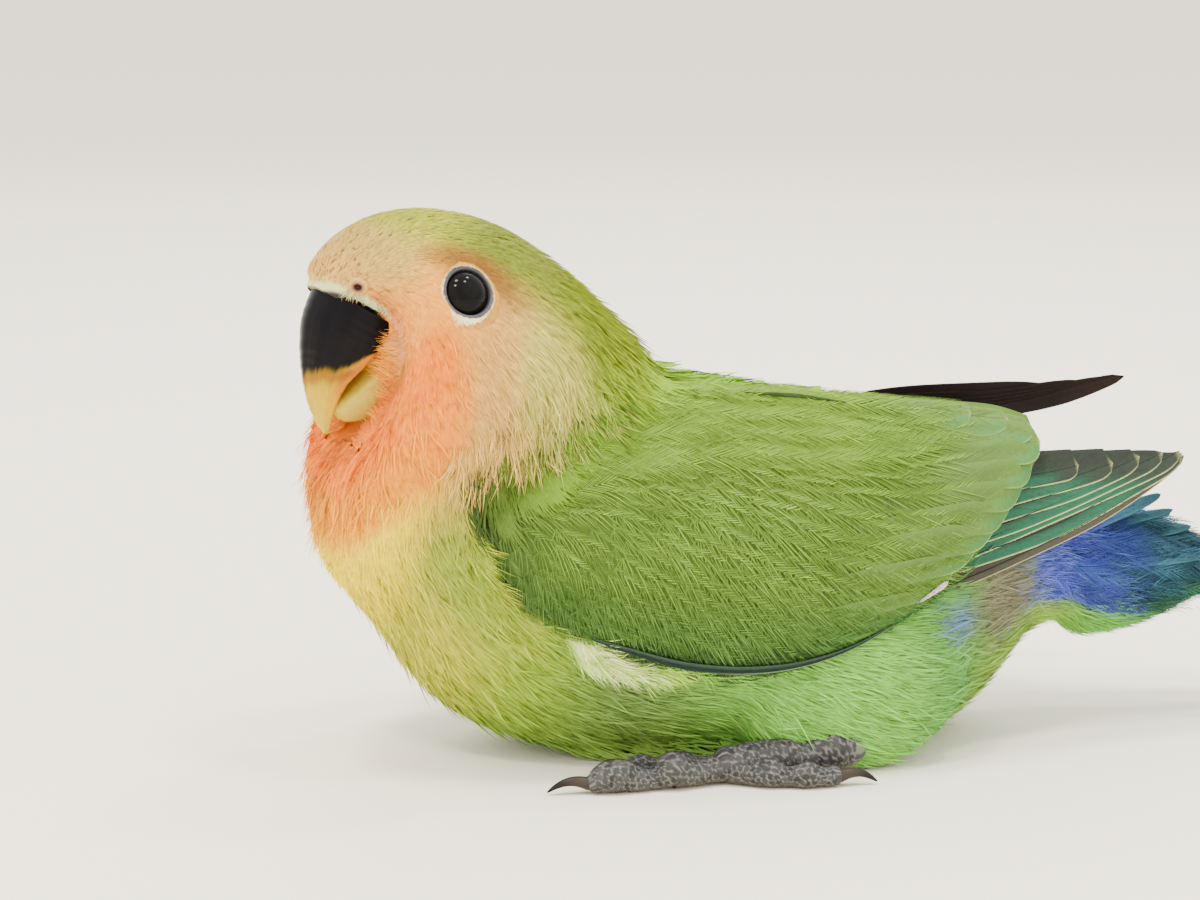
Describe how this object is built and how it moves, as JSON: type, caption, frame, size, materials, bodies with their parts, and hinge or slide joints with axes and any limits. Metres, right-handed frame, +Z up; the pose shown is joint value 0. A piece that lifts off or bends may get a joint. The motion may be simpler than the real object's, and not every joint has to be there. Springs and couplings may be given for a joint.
{
  "type": "peach-faced lovebird",
  "caption": "Young peach-faced lovebird resting on its belly, head turned to its left, wings folded, green body, peach face, blue rump, life-size still model.",
  "frame": {"origin": "middle of the bounding box on the floor, under the belly", "axes": "+Z up, the bill points to -X and the tail to +X, the bird's left side faces -Y"},
  "size_m": [0.1452, 0.0578, 0.0761],
  "materials": {
    "plumage_head": "soft feathers, tan and peach",
    "plumage_neck": "soft feathers, orange to pale yellow",
    "plumage_body": "soft feathers, yellow-green",
    "plumage_wing": "feathers, mid green",
    "flight": "vaned feathers, teal green and blackish",
    "plumage_tail": "soft feathers, blue",
    "bill": "satin horn, black to yellow horn tip",
    "bill_low": "satin horn, yellow",
    "cere": "bare matt skin, greenish white",
    "eye": "wet gloss, black",
    "foot": "scaly matt skin, grey",
    "claw": "horn, grey-brown"
  },
  "bodies": {
    "root": {"head": "plumage_head", "neck": "plumage_neck", "trunk": "plumage_body", "rump": "plumage_body", "thigh_left": "plumage_body", "thigh_right": "plumage_body", "wing_left": "plumage_wing", "wing_right": "plumage_wing", "primaries_left": "flight", "primaries_right": "flight", "tail": "flight", "tail_coverts": "plumage_tail", "bill_upper": "bill", "bill_lower": "bill_low", "cere": "cere", "eye_left": "eye", "eye_right": "eye", "foot_left": "foot", "foot_right": "foot", "claw_1_left": "claw", "claw_2_left": "claw", "claw_3_left": "claw", "claw_4_left": "claw", "claw_1_right": "claw", "claw_2_right": "claw", "claw_3_right": "claw", "claw_4_right": "claw"}
  },
  "joints": []
}
